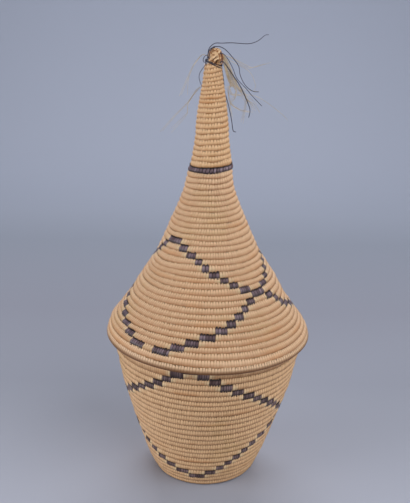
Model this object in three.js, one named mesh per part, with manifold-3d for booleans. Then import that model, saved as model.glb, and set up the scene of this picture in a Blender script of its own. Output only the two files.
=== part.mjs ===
import * as THREE from 'three';
import { mergeVertices } from 'three/addons/utils/BufferGeometryUtils.js';
import Module from 'manifold-3d';

// A coiled basket with a tall, pointed, coiled lid. Millimetres, +Z up, floor at z = 0, and the
// front of the pattern towards -Y. A round is one turn of a coil, counted down from the top.

const wasm = await Module();
wasm.setup();

// Basket
const baseRadius = 36.2; // outside, where the wall meets the floor
const ledgeRadius = 67.4; // outside, at the top of the last full round
const basketHeight = 105.8; // floor to the top of that round
const ledgePitch = 5.05; // from one round to the next, at the top
const basePitch = 4.23; // the same at the floor
const basketDepth = 4.2; // thickness of the coil through the wall
const baseThickness = 4.2;

// Lid, with its heights measured up from its own rim
const rimOverhang = 4.4; // how far the rim stands out beyond the ledge
const rimPitch = 4.35;
const rimProud = 0.5; // how far the rim round stands out beyond the cone
const rimDepth = 5; // thickness of the rim round, which rests on the ledge
const ringHeight = 117.1; // to the lower edge of the dark ring at the foot of the spire
const ringRadius = 14.7;
const ringPitch = 3.7;
const ringProud = 0.5;
const tipHeight = 186.4; // to the top of the last round
const tipRadius = 5.6;
const tipPitch = 2.7;
const lidDepth = 4;
const spireDepth = 3.4;
const boreHeight = 155; // to the top of the hollow in the spire
const boreTaper = 6;

// Inset round on the ledge that keeps the lid centred
const neckHeight = 4.1;
const neckDepth = 4;
const neckClearance = 1.2; // to the inside of the lid's rim

// Clearances and surface
const pieceGap = 0.3; // between two pieces that touch
const ribDepth = 0.6; // depth of the groove between two rounds
const stitchThickness = 0.6;

// Dark stitched lines. Each has a turn at the front, on a round counted from the top, and steps
// away from it on both sides, a round at a time, down (1) or up (-1), to a turn at the back.
// Right and left are the azimuths where the steps at the front end. Those behind are even.
const lidLines = [
  { round: 12, way: 1, steps: 19, back: 130,
    right: [-50.4, -37.8, -26.2, -14.5, -6.8, 0.6, 11, 19.1, 27.6, 38, 52, 61.2, 67.1, 73.5, 82.9],
    left: [-50.4, -62.4, -71.7, -80.4, -88] },
  { round: 30, way: -1, steps: 21, back: 145.6,
    right: [-32.2, -21.7, -13.5, -5.4, 4.5, 12.3, 18.7, 25.5, 30.9, 38.6, 51.3, 61.1, 69.3, 77.5],
    left: [-38.6, -48.7, -57.1, -66.1, -74.2, -83.8] },
];
const basketLines = [
  { round: 0, way: 1, steps: 23, back: 170.5,
    right: [-5.8, 1, 7.7, 14.9, 22.5, 30, 36.5, 43, 50.4, 56.7, 63.5, 70.6],
    left: [-13.7, -21.5, -27.5, -34.3, -41.8, -48.5, -57, -65] },
  { round: 21, way: -1, steps: 21, back: 171.5,
    right: [-7, 0.3, 10.4, 17.7, 24.6, 32, 38.9, 45.9, 55.9, 65.4],
    left: [-7, -15.7, -28.5, -38.3, -47.2, -55.3, -63] },
];
const stepLap = 0.8; // degrees that a step reaches past each of its ends
const roundLap = 0.04; // share of a round that a step reaches past the grooves
const widestPlate = 11; // degrees

// Knob, thread and loose fibres at the tip
const knobHeight = 9.4;
const knobRadius = 4.9;
const knobWaist = 4.5;
const threadRadius = 0.4;
const fibreRadius = 0.35;
const routeUnit = 1; // length that the routes below are given in

// Mesh fineness
const wideSegments = 28;
const narrowSegments = 16;
const innerSteps = 6;
const strandSides = 3;
const strandSteps = 11;

// Outlines, from the low end: share of the height, share of the change in radius
const wallCurve = [
  [0, 0], [0.17, 0.252], [0.36, 0.455], [0.52, 0.626], [0.69, 0.792], [0.85, 0.894], [1, 1],
];
const coneCurve = [
  [0, 0], [0.046, 0.021], [0.102, 0.084], [0.251, 0.294],
  [0.516, 0.63], [0.7, 0.807], [0.874, 0.946], [1, 1],
];
const spireCurve = [[0, 0], [0.29, 0.345], [0.48, 0.455], [0.85, 0.855], [1, 1]];

// Loose ends: where each leaves the binding, in degrees, and then points out to the right, towards
// the back and up from the top of the last round
const threadRoutes = [
  { from: -55, points: [[-3.6, -4.9, 3.4], [-2.4, -4.8, 7.3], [1, -3.8, 10.4], [6, -4, 10.2], [12, -5, 5.4],
    [17.6, -6, -4.3], [21.6, -7, -12.6], [32.8, -8, -26.2]] },
  { from: -70, points: [[-5.4, -3, 5], [-1.4, -2.4, 11.4], [5, -2.5, 12.8], [19.6, -3, 12.6],
    [34, -4, 18.4]] },
  { from: -85, points: [[-7.2, -2.2, -4.3], [-8.6, -3, -8.4], [-8.8, -4.6, -14.4]] },
  { from: 60, points: [[7.4, -4.6, 1.8], [10.4, -6, -2.6], [16.4, -7.6, -12.8], [23.2, -9, -23.6],
    [24.6, -9.4, -33.8]] },
  { from: 75, points: [[9.2, -2.4, 4.1], [14, -3, -3.6], [20, -4, -16.4]] },
  { from: 45, points: [[8.6, -4.6, -9.2], [10, -4.8, -17.6], [13.4, -5, -35.5], [15.4, -5, -42.2]] },
];
const fibreRoutes = [
  [[6, 1, 3.6], [10, 2, -1.6], [13.6, 3, -9], [17.6, 3.6, -16.5]],
  [[6.4, 2.4, 3.2], [12.7, 5, -5.2], [20.8, 8, -16.4], [27.6, 10, -25.7]],
  [[6, 3.4, 3.4], [11, 6, -8], [16.5, 9, -22.9], [20.1, 10, -36.4]],
  [[20, 1, 3.8], [34, 3, 1.1]],
  [[24, 5, -1.1], [37, 8, -4.4], [47.9, 9, -5.9]],
  [[21, 9, -6.8], [38, 15, -22.8], [46.7, 17, -32.2]],
  [[-11, 1, 1], [-15.6, 2, -10.3], [-15.5, 2, -31], [-19.9, 2.6, -35.8]],
  [[-6.6, 2.6, 2], [-12.8, 5, -11.2], [-20.4, 7, -21.6], [-28.7, 9, -43.3]],
];

const straw = new THREE.MeshStandardMaterial({ color: 0xcda677, roughness: 0.75, metalness: 0 });
const paleStraw = new THREE.MeshStandardMaterial({ color: 0xd8b88c, roughness: 0.7, metalness: 0 });
const darkFibre = new THREE.MeshStandardMaterial({ color: 0x4d4354, roughness: 0.7, metalness: 0 });
const looseFibre = new THREE.MeshStandardMaterial({ color: 0xc2ad86, roughness: 0.8, metalness: 0 });

const basket = new THREE.Group();

function addPiece(name, geometry, material) {
  const mesh = new THREE.Mesh(geometry, material);
  mesh.name = name;
  basket.add(mesh);
}

// Shared corners are merged, and a triangle that has lost a side is left out
function cleaned(geometry) {
  const bare = geometry.clone();
  bare.deleteAttribute('normal');
  bare.deleteAttribute('uv');
  const merged = mergeVertices(bare, 1e-4);
  const corners = merged.index.array;
  const kept = [];
  for (let i = 0; i < corners.length; i += 3) {
    const [a, b, c] = [corners[i], corners[i + 1], corners[i + 2]];
    if (a !== b && b !== c && c !== a) kept.push(a, b, c);
  }
  merged.setIndex(kept);
  merged.computeVertexNormals();
  return merged;
}

function joined(geometries) {
  const solids = geometries.map((geometry) => {
    const merged = cleaned(geometry);
    return new wasm.Manifold(new wasm.Mesh({
      numProp: 3,
      vertProperties: new Float32Array(merged.attributes.position.array),
      triVerts: new Uint32Array(merged.index.array),
    }));
  });
  const mesh = solids.reduce((sum, solid) => sum.add(solid)).getMesh();
  const geometry = new THREE.BufferGeometry();
  geometry.setAttribute('position', new THREE.BufferAttribute(new Float32Array(mesh.vertProperties), 3));
  geometry.setIndex(new THREE.BufferAttribute(new Uint32Array(mesh.triVerts), 1));
  geometry.computeVertexNormals();
  return geometry;
}

function fromTriangles(corners) {
  const geometry = new THREE.BufferGeometry();
  const numbers = corners.flatMap((corner) => [corner.x, corner.y, corner.z]);
  geometry.setAttribute('position', new THREE.Float32BufferAttribute(numbers, 3));
  return cleaned(geometry);
}

// A point by its azimuth, in degrees from the front towards +X
function around(radius, degrees, height) {
  const azimuth = THREE.MathUtils.degToRad(degrees);
  return new THREE.Vector3(radius * Math.sin(azimuth), -radius * Math.cos(azimuth), height);
}

// The outline between two heights. It is followed by its length, down from the high end.
function outline(curve, low, high) {
  const spline = new THREE.SplineCurve(curve.map(([rise, change]) => new THREE.Vector2(
    THREE.MathUtils.lerp(low.radius, high.radius, change),
    THREE.MathUtils.lerp(low.height, high.height, rise),
  )));
  spline.arcLengthDivisions = 600;
  const length = spline.getLength();
  const at = (distance) => spline.getPointAt(1 - THREE.MathUtils.clamp(distance / length, 0, 1));
  return { length, at };
}

// An outline with its rounds, whose pitch changes evenly from the top to the low end
function coilAlong(shape, topPitch, lowPitch) {
  const rounds = Math.max(2, Math.round((2 * shape.length) / (topPitch + lowPitch)));
  const slant = (lowPitch - topPitch) / (lowPitch + topPitch);
  const at = (round) => {
    const u = THREE.MathUtils.clamp(round / rounds, 0, 1);
    const point = shape.at(shape.length * u * (1 - slant + slant * u));
    return { radius: point.x, height: point.y };
  };
  return { rounds, at };
}

// The inner face lies a coil's depth in from the outline. From the low end up: radius, height
function innerFace(coil, from, to, depth) {
  const points = [];
  for (let i = innerSteps; i >= 0; i -= 1) {
    const round = THREE.MathUtils.lerp(from, to, i / innerSteps);
    const here = coil.at(round);
    const above = coil.at(round - 0.25);
    const below = coil.at(round + 0.25);
    const rise = above.height - below.height;
    const steepness = rise / Math.hypot(rise, above.radius - below.radius);
    points.push([here.radius - depth / steepness, here.height]);
  }
  return points;
}

function plainRing(radius, height, segments) {
  const ring = [];
  for (let j = 0; j <= segments; j += 1) {
    ring.push(around(radius, ((j % segments) * 360) / segments, height));
  }
  return ring;
}

// The outer face is one rib that winds down the outline, a round each time it goes about
function coiledShell({ coil, from, to, inner, segments, proud = 0 }) {
  const rings = [];
  for (let m = Math.floor(2 * from); m <= Math.ceil(2 * to) + 2; m += 1) {
    const ring = [];
    for (let j = 0; j <= segments; j += 1) {
      const share = j / segments;
      const round = THREE.MathUtils.clamp(m / 2 - share, from, to);
      const groove = (ribDepth * (1 + Math.cos(2 * Math.PI * (round + share)))) / 2;
      const { radius, height } = coil.at(round);
      ring.push(around(radius + proud - groove, ((j % segments) * 360) / segments, height));
    }
    rings.push(ring);
  }
  inner.forEach(([radius, height]) => rings.push(plainRing(radius, height, segments)));
  const corners = [];
  rings.forEach((ring, i) => {
    const next = rings[(i + 1) % rings.length];
    for (let j = 0; j < segments; j += 1) {
      corners.push(ring[j], next[j], next[j + 1], ring[j], next[j + 1], ring[j + 1]);
    }
  });
  return fromTriangles(corners);
}

// A turned piece from a closed profile of radius and height, wound anticlockwise
function turned(profile, segments) {
  const points = [...profile, profile[0]].map(([radius, height]) => new THREE.Vector2(radius, height));
  return cleaned(new THREE.LatheGeometry(points, segments).rotateX(Math.PI / 2));
}

// A thin plate over one round, between two azimuths. Its flat parts clear the round coil.
function stitchedStep(coil, round, fromDegrees, toDegrees) {
  const columns = Math.ceil((toDegrees - fromDegrees) / widestPlate);
  const width = (toDegrees - fromDegrees) / columns;
  const spread = 1 / Math.cos(THREE.MathUtils.degToRad(width / 2));
  const section = (degrees) => {
    const upper = coil.at(round - roundLap - degrees / 360);
    const lower = coil.at(round + 1 + roundLap - degrees / 360);
    const place = ({ radius, height }, lift) => around((radius + lift) * spread, degrees, height);
    const outside = pieceGap + stitchThickness;
    return [place(upper, pieceGap), place(upper, outside), place(lower, outside), place(lower, pieceGap)];
  };
  const corners = [];
  for (let i = 0; i < columns; i += 1) {
    const a = section(fromDegrees + i * width);
    const b = section(fromDegrees + (i + 1) * width);
    if (i === 0) corners.push(a[0], a[2], a[1], a[0], a[3], a[2]);
    if (i === columns - 1) corners.push(b[0], b[1], b[2], b[0], b[2], b[3]);
    for (let k = 0; k < 4; k += 1) {
      const next = (k + 1) % 4;
      corners.push(a[k], b[next], b[k], a[k], a[next], b[next]);
    }
  }
  return fromTriangles(corners);
}

// The steps of a line. The rounds climb to the right, so the left side has one step more or less.
function lineSteps(coil, { round, way, steps, back, right, left }) {
  const plates = [];
  const sides = [
    { side: 1, ends: right, count: steps, last: back },
    { side: -1, ends: left, count: steps - way, last: back - 360 },
  ];
  sides.forEach(({ side, ends, count, last }) => {
    const known = ends.length - 1;
    const end = (k) => (
      k <= known ? ends[k] : THREE.MathUtils.lerp(ends[known], last, (k - known) / (count - known))
    );
    for (let k = 0; k < count; k += 1) {
      const near = end(k) - (k === 0 ? 0 : side * stepLap);
      const far = end(k + 1) + (k === count - 1 ? 0 : side * stepLap);
      plates.push(stitchedStep(coil, round + way * k, Math.min(near, far), Math.max(near, far)));
    }
  });
  return plates;
}

function stitchedLines(coil, lines) {
  return joined(lines.flatMap((line) => lineSteps(coil, line)));
}

// A thread or fibre from its root along a route of points
function strand(root, points, radius) {
  const top = new THREE.Vector3(0, 0, tipTop);
  const stops = points.map((point) => new THREE.Vector3(...point).multiplyScalar(routeUnit).add(top));
  const path = new THREE.CatmullRomCurve3([root, ...stops]);
  const section = new THREE.Shape();
  for (let i = 0; i < strandSides; i += 1) {
    const angle = (2 * Math.PI * i) / strandSides;
    const corner = [radius * Math.cos(angle), radius * Math.sin(angle)];
    if (i === 0) section.moveTo(...corner);
    else section.lineTo(...corner);
  }
  section.closePath();
  return new THREE.ExtrudeGeometry(section, { steps: strandSteps, extrudePath: path });
}

// Where the coils run
const rimHeight = basketHeight + pieceGap;
const tipTop = rimHeight + tipHeight;
const wallShape = outline(
  wallCurve,
  { radius: baseRadius, height: 0 },
  { radius: ledgeRadius, height: basketHeight },
);
const coneShape = outline(
  coneCurve,
  { radius: ledgeRadius + rimOverhang - rimProud, height: rimHeight },
  { radius: ringRadius, height: rimHeight + ringHeight },
);
const spireShape = outline(
  spireCurve,
  { radius: ringRadius, height: rimHeight + ringHeight },
  { radius: tipRadius, height: tipTop },
);
const wallCoil = coilAlong(wallShape, ledgePitch, basePitch);
const coneCoil = coilAlong(coneShape, ringPitch, rimPitch);
const spireCoil = coilAlong(spireShape, tipPitch, ringPitch);

// Two stretches of one coil leave this share of a round between them
const wallSplit = pieceGap / ledgePitch;
const rimSplit = pieceGap / rimPitch;
const ringSplit = pieceGap / ringPitch;

// Basket
function baseCoil() {
  const wallInside = innerFace(wallCoil, 1, wallCoil.rounds, basketDepth)[0][0];
  const edge = wallInside - pieceGap;
  const rounds = Math.round(edge / basePitch);
  const profile = [[0, 0], [edge, 0]];
  for (let i = rounds; i > 0; i -= 1) {
    const radius = (edge * i) / rounds;
    profile.push([radius, baseThickness - ribDepth], [radius - edge / rounds / 2, baseThickness]);
  }
  profile.push([0, baseThickness - ribDepth]);
  return turned(profile, wideSegments);
}

function wallPiece(from, to) {
  const inner = innerFace(wallCoil, from, to, basketDepth);
  return coiledShell({ coil: wallCoil, from, to, inner, segments: wideSegments });
}

function neckRound() {
  const rimInside = innerFace(coneCoil, coneCoil.rounds - 1, coneCoil.rounds, rimDepth)[0][0];
  const outer = rimInside - neckClearance;
  const low = basketHeight + pieceGap;
  return turned([
    [outer - neckDepth, low],
    [outer - ribDepth, low],
    [outer, low + neckHeight / 2],
    [outer - neckDepth / 4, low + neckHeight],
    [outer - (neckDepth * 3) / 4, low + neckHeight],
    [outer - neckDepth, low + neckHeight / 2],
  ], wideSegments);
}

addPiece('basket_base', baseCoil(), straw);
addPiece('basket_wall', wallPiece(1 + wallSplit / 2, wallCoil.rounds), straw);
addPiece('basket_ledge_round', wallPiece(0, 1 - wallSplit / 2), straw);
addPiece('basket_neck_round', neckRound(), straw);
addPiece('basket_dark_stitches', stitchedLines(wallCoil, basketLines), darkFibre);

// Lid
function conePiece(from, to, depth, proud) {
  const inner = innerFace(coneCoil, from, to, depth);
  return coiledShell({ coil: coneCoil, from, to, inner, segments: wideSegments, proud });
}

function spirePiece(from, to, inner, proud) {
  return coiledShell({ coil: spireCoil, from, to, inner, segments: narrowSegments, proud });
}

function spireTop() {
  const to = spireCoil.rounds - 1 - ringSplit / 2;
  let boreEnd = 0;
  while (spireCoil.at(boreEnd).height > rimHeight + boreHeight) boreEnd += 0.5;
  const apex = [0, rimHeight + boreHeight + boreTaper];
  const inner = [...innerFace(spireCoil, boreEnd, to, spireDepth), apex, [0, tipTop]];
  return spirePiece(0, to, inner, 0);
}

function spireRing() {
  const from = spireCoil.rounds - 1 + ringSplit / 2;
  const to = spireCoil.rounds - ringSplit / 2;
  return spirePiece(from, to, innerFace(spireCoil, from, to, spireDepth), ringProud);
}

const rimStart = coneCoil.rounds - 1;
addPiece('lid_rim_round', conePiece(rimStart + rimSplit / 2, coneCoil.rounds, rimDepth, rimProud), paleStraw);
addPiece('lid_cone', conePiece(ringSplit / 2, rimStart - rimSplit / 2, lidDepth, 0), straw);
addPiece('lid_dark_stitches', stitchedLines(coneCoil, lidLines), darkFibre);
addPiece('lid_dark_ring', spireRing(), darkFibre);
addPiece('lid_spire', spireTop(), straw);

// Tip
const knobLow = tipTop + pieceGap;
const knob = turned([
  [0, knobLow],
  [knobWaist, knobLow],
  [knobWaist, knobLow + 2.5 * threadRadius],
  [knobRadius, knobLow + knobHeight * 0.35],
  [knobRadius, knobLow + knobHeight * 0.65],
  [knobRadius * 0.6, knobLow + knobHeight * 0.93],
  [0, knobLow + knobHeight],
], narrowSegments);
const bindingRadius = knobWaist + pieceGap + threadRadius;
const bindingHeight = knobLow + threadRadius;
const binding = new THREE.TorusGeometry(bindingRadius, threadRadius, 6, narrowSegments)
  .translate(0, 0, bindingHeight);
const threads = threadRoutes.map(({ from, points }) => (
  strand(around(bindingRadius, from, bindingHeight), points, threadRadius)
));
const knobMiddle = new THREE.Vector3(0, 0, knobLow + knobHeight / 2);
const fibres = fibreRoutes.map((points) => strand(knobMiddle, points, fibreRadius));
addPiece('tip_binding_thread', joined([binding, ...threads]), darkFibre);
addPiece('tip_fibre_tuft', joined([knob, ...fibres]), looseFibre);

export default basket;
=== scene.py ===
import math

import bpy
import numpy as np
from mathutils import Matrix, Vector


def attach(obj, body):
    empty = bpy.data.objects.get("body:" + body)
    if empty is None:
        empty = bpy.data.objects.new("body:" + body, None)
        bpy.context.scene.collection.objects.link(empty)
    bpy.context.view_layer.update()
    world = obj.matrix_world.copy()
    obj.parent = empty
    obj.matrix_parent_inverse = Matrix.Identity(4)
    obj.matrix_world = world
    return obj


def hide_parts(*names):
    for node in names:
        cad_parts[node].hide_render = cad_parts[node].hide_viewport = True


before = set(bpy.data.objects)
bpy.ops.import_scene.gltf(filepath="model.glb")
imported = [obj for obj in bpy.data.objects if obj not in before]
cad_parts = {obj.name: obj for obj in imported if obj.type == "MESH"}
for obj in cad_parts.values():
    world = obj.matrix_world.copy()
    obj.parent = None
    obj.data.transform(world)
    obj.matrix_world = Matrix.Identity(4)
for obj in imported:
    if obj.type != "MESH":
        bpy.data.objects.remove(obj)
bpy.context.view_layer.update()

# A coiled, sewn basket with a tall coiled lid. Lengths are in millimetres until a mesh is made.
# A place on a coil is a number of rounds counted down from its top at the front: the round at q lies
# between q and q + 1 on the outline, at the azimuth -360 q degrees, counted from -Y towards +X.
MM = 0.001
random = np.random.default_rng(11)

# Outlines, as in the solids: share of the height, share of the change in radius
WALL_CURVE = [(0, 0), (0.17, 0.252), (0.36, 0.455), (0.52, 0.626), (0.69, 0.792), (0.85, 0.894), (1, 1)]
CONE_CURVE = [
    (0, 0), (0.046, 0.021), (0.102, 0.084), (0.251, 0.294),
    (0.516, 0.63), (0.7, 0.807), (0.874, 0.946), (1, 1),
]
SPIRE_CURVE = [(0, 0), (0.29, 0.345), (0.48, 0.455), (0.85, 0.855), (1, 1)]
BASKET_HEIGHT = 105.8
RIM_HEIGHT = BASKET_HEIGHT + 0.3
RING_HEIGHT = RIM_HEIGHT + 117.1
TIP_HEIGHT = RIM_HEIGHT + 186.4
BASE_RADIUS = 36.2
LEDGE_RADIUS = 67.4
RIM_RADIUS = 71.3
RING_RADIUS = 14.7
TIP_RADIUS = 5.6

OUTLINE_STEPS = 400
PROBE = 0.05  # step along an outline that finds its direction
FAR = 9  # rounds, past any end of a coil
END = 99  # rounds, past any end of a stretch

# Columns across a stitch, as shares of its width, and how deep each lies in the valley between two
STITCH_COLUMNS = ((0.0, 1.0), (0.2, 0.15), (0.5, 0.0), (0.8, 0.15))
# Rows across a round, from its upper groove (-1) to its lower one (1), and the row that stands out most
OUTER_ROWS = (-1.0, -0.8, -0.45, 0.0, 0.5, 0.84, 1.0)
INNER_ROWS = (0.7, 0.0, -0.7)
PEAK = 0.35
VALLEY_MIDDLE = 0.5
VALLEY_EDGE = 0.75

# How far the ends of the stitches stand on the round above, and the dark ones also on the round below
TOOTH_LIFT = 0.12
LAP_LIFT = 0.1
LOWER_LAP = 0.45
# Dark stitches: how far they stand out and reach in, and how far the coil lies back under them
WRAP_PROUD = 0.05
WRAP_INSIDE = 0.5
WRAP_TUCK = 0.97
UNDER_WRAP = 0.34

# How stitches differ: the spread, least and most of a share, and the spread of other differences
WIDTH_RANGE = (0.09, 0.75, 1.3)
VALLEY_RANGE = (0.4, 0.35, 2.2)
REACH_RANGE = (0.3, 0.3, 1.8)
LIFT_SPREAD = 0.06
SHIFT_SPREAD = 0.1
# How rounds differ: their edges and least size in rounds, and their radius in millimetres, which
# strays less inside CALM_RADIUS
EDGE_STRAY = 0.05
LEAST_ROUND = 0.03
RADIUS_STRAY = 0.16
CALM_RADIUS = 40
# How far a stitch slants, as half of what its ends lie apart along the coil
SLANT = -0.15
# What is known of each column of stitches, in this order
Q, STITCH, VALLEY, LIFT, TOP_SHIFT, LOW_SHIFT, REACH = range(7)

# A rusty stretch low on the lid: its middle and spread in degrees, the round it starts at, and how many
# rounds it takes to come in
RUST_AZIMUTH = -56
RUST_SPREAD = 22
RUST_ROUND = 29.7
RUST_EDGE = 0.6


class Coil:
    """The outline that a coil follows, and how many rounds lie along it."""

    def __init__(self, curve, low, high, top_pitch, low_pitch, slides=((0,), (0,))):
        points = np.array([
            (low[0] + (high[0] - low[0]) * change, low[1] + (high[1] - low[1]) * rise)
            for rise, change in curve
        ])
        line = spline(points, OUTLINE_STEPS)[::-1]
        step = np.hypot(*np.diff(line, axis=0).T)
        self.line = line
        self.along = np.concatenate([[0], np.cumsum(step)])
        self.length = self.along[-1]
        self.rounds = round(2 * self.length / (top_pitch + low_pitch))
        self.slant = (low_pitch - top_pitch) / (low_pitch + top_pitch)
        self.slides = slides

    def place(self, t):
        """Radius, height and the outward direction at t rounds down, also a little past both ends."""
        u = np.asarray(t, float) / self.rounds
        distance = self.length * u * (1 - self.slant + self.slant * u) + np.interp(t, *self.slides)
        inside = np.clip(distance, PROBE, self.length - PROBE)
        ends = np.stack([
            [np.interp(inside + side * PROBE, self.along, self.line[:, k]) for k in (0, 1)]
            for side in (-1, 1)
        ])
        way = (ends[1] - ends[0]) / (2 * PROBE)
        middle = (ends[0] + ends[1]) / 2 + way * (distance - inside)
        size = np.hypot(*way)
        return middle[0], middle[1], -way[1] / size, way[0] / size


def spline(points, steps):
    """A smooth line through the points, the same one as in the solids."""
    before = np.vstack([points[:1], points[:-1]])
    after = np.vstack([points[2:], points[-1:]])
    pieces = []
    t = np.arange(steps)[:, None] / steps
    for i in range(len(points) - 1):
        a, b = points[i], points[i + 1]
        va = (b - before[i]) / 2
        vb = (after[i] - a) / 2
        cubic = 2 * a - 2 * b + va + vb
        square = 3 * b - 3 * a - 2 * va - vb
        pieces.append(cubic * t**3 + square * t**2 + va * t + a)
    return np.vstack([*pieces, points[-1:]])


# At a number of rounds of the wall, how far it lies down from its even place: the first round is taller
WALL_SLIDES = ([0, 1, 3, 5, 7, 24], [0, 1.85, 1.8, 0.85, 0, 0])
wall_coil = Coil(
    WALL_CURVE, (BASE_RADIUS, 0), (LEDGE_RADIUS, BASKET_HEIGHT), top_pitch=5.05, low_pitch=4.23,
    slides=WALL_SLIDES,
)
cone_coil = Coil(
    CONE_CURVE, (RIM_RADIUS, RIM_HEIGHT), (RING_RADIUS, RING_HEIGHT), top_pitch=3.7, low_pitch=4.35,
)
spire_coil = Coil(
    SPIRE_CURVE, (RING_RADIUS, RING_HEIGHT), (TIP_RADIUS, TIP_HEIGHT), top_pitch=2.7, low_pitch=3.7,
)

# How the hand-made rounds stray: at a number of rounds, how far they dip to the right and rise to the
# left, how far they sink, and how far they sink at both sides and rise in front and behind. LEAN is
# how far the rounds stand aside, by the height.
STRAYS = {
    wall_coil: ([0, 1, 2.5, 5.5, 10, 12, 14.5, 17.5, 20.5, 24],
                [0.9, 0.3, 0, 0.05, 0, -0.3, -0.35, -0.25, -0.8, 0],
                [0.3, 1.1, 1.2, 0.35, 0.42, 0.3, 0.3, 0, 0.45, 0],
                [0.3, 0.5, 0.6, -0.05, 0.55, 0.3, 0.2, -0.1, 0.4, 0]),
    cone_coil: ([0, 4, 8, 12, 14, 17, 21, 25, 28.5, 31, 32, 33],
                [0.05, 0.1, -0.05, 0.25, 0.1, -0.25, 0.15, 1.0, 1.35, 1.9, 1.6, 1.1],
                [0.15, 0.5, -0.05, -0.2, 0, 0.65, -0.25, 0.75, 0.6, 0.1, 0.95, 0.8],
                [0, 0.05, 0, 0.25, 0.55, 0.4, 0, 0.75, 0.45, 0, 0, 0]),
    spire_coil: ([0, 2.5, 5.5, 8.5, 11.5, 14.5, 17.5, 22],
                 [-0.6, -0.6, -0.6, -0.1, -0.25, -0.35, -0.15, -0.4],
                 [0.1, 0.8, 0.15, -0.8, -0.85, -0.25, 0.25, 0.25],
                 [0] * 8),
}
LEAN = ([0, 50, 75, 95, 106, 125, 143, 155, 180, 214, 221, 226, 248, 262, 272, 292],
        [0, 0.2, 0.4, 0.6, 0.75, 0.5, 0.1, -0.2, -0.5, -0.75, -0.3, 0.3, 0.45, 0.25, 0.3, 0.1])


def smooth(x):
    """A soft step from 0 to 1."""
    x = np.clip(x, 0, 1)
    return x * x * (3 - 2 * x)


def waves(x, seed, count=6, low=0.4, high=5.0):
    """Smooth noise of about unit size along x, from a few sines."""
    source = np.random.default_rng(seed)
    total = 0
    for _ in range(count):
        total = total + np.sin(x * source.uniform(low, high) + source.uniform(0, 2 * math.pi))
    return total / math.sqrt(count / 2)


# Dark lines, as in the solids: the round at the front turn, the way and number of steps, the azimuth
# of the turn at the back, and the azimuths where the steps at the front end, to the right and left
LID_LINES = [
    (12, 1, 19, 130,
     [-50.4, -37.8, -26.2, -14.5, -6.8, 0.6, 11, 19.1, 27.6, 38, 52, 61.2, 67.1, 73.5, 82.9],
     [-50.4, -62.4, -71.7, -80.4, -88]),
    (30, -1, 21, 145.6,
     [-32.2, -21.7, -13.5, -5.4, 4.5, 12.3, 18.7, 25.5, 30.9, 38.6, 51.3, 61.1, 69.3, 77.5],
     [-38.6, -48.7, -57.1, -66.1, -74.2, -83.8]),
]
BASKET_LINES = [
    (0, 1, 23, 170.5,
     [-5.8, 1, 7.7, 14.9, 22.5, 30, 36.5, 43, 50.4, 56.7, 63.5, 70.6],
     [-13.7, -21.5, -27.5, -34.3, -41.8, -48.5, -57, -65]),
    (21, -1, 21, 171.5,
     [-7, 0.3, 10.4, 17.7, 24.6, 32, 38.9, 45.9, 55.9, 65.4],
     [-7, -15.7, -28.5, -38.3, -47.2, -55.3, -63]),
]


def dark_stretches(lines):
    """Where the dark stitches lie along the coil, as pairs of q."""
    found = []
    for first, way, steps, back, right, left in lines:
        for ends, count, last in ((right, steps, back), (left, steps - way, back - 360)):
            rest = np.linspace(ends[-1], last, count - len(ends) + 2)[1:]
            for k, pair in enumerate(zip([*ends, *rest], [*ends[1:], *rest])):
                level = first + way * k
                found.append((level - max(pair) / 360, level - min(pair) / 360))
    return found


def add_object(name, data):
    made = bpy.data.objects.new(name, data)
    bpy.context.scene.collection.objects.link(made)
    return made


def new_mesh(name, points, faces, attributes, material):
    """faces is a list of arrays of quads, each with whether they are smooth."""
    mesh = bpy.data.meshes.new(name)
    mesh.vertices.add(len(points))
    mesh.vertices.foreach_set("co", (np.asarray(points) * MM).astype(np.float32).ravel())
    quads = np.concatenate([part for part, _ in faces]).astype(np.int32)
    mesh.loops.add(quads.size)
    mesh.loops.foreach_set("vertex_index", quads.ravel())
    mesh.polygons.add(len(quads))
    mesh.polygons.foreach_set("loop_start", np.arange(0, quads.size, 4, dtype=np.int32))
    shading = [np.full(len(part), is_smooth) for part, is_smooth in faces]
    mesh.polygons.foreach_set("use_smooth", np.concatenate(shading))
    mesh.update(calc_edges=True)
    for key, values in attributes.items():
        attribute = mesh.attributes.new(key, "FLOAT", "POINT")
        attribute.data.foreach_set("value", np.asarray(values, np.float32))
    mesh.materials.append(material)
    return add_object(name, mesh)


def tube_sides(columns, rows):
    """The sides of a tube, from columns of points that run round its section."""
    c, r = np.meshgrid(np.arange(columns - 1), np.arange(rows), indexing="ij")
    n = (r + 1) % rows
    corners = [c * rows + r, c * rows + n, (c + 1) * rows + n, (c + 1) * rows + r]
    return np.stack(corners, -1).reshape(-1, 4)


def tube_faces(columns, rows):
    """A closed tube's smooth sides and flat ends. Its number of rows is even."""
    k = np.arange((rows - 2) // 2)
    first_end = np.stack([k, k + 1, rows - 2 - k, rows - 1 - k], -1)
    last_end = first_end[:, ::-1] + (columns - 1) * rows
    return [(tube_sides(columns, rows), True), (first_end, False), (last_end, False)]


def varied(spread, least, most, count=None):
    """Random shares around 1."""
    return np.clip(random.normal(1, spread, count), least, most)


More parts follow.
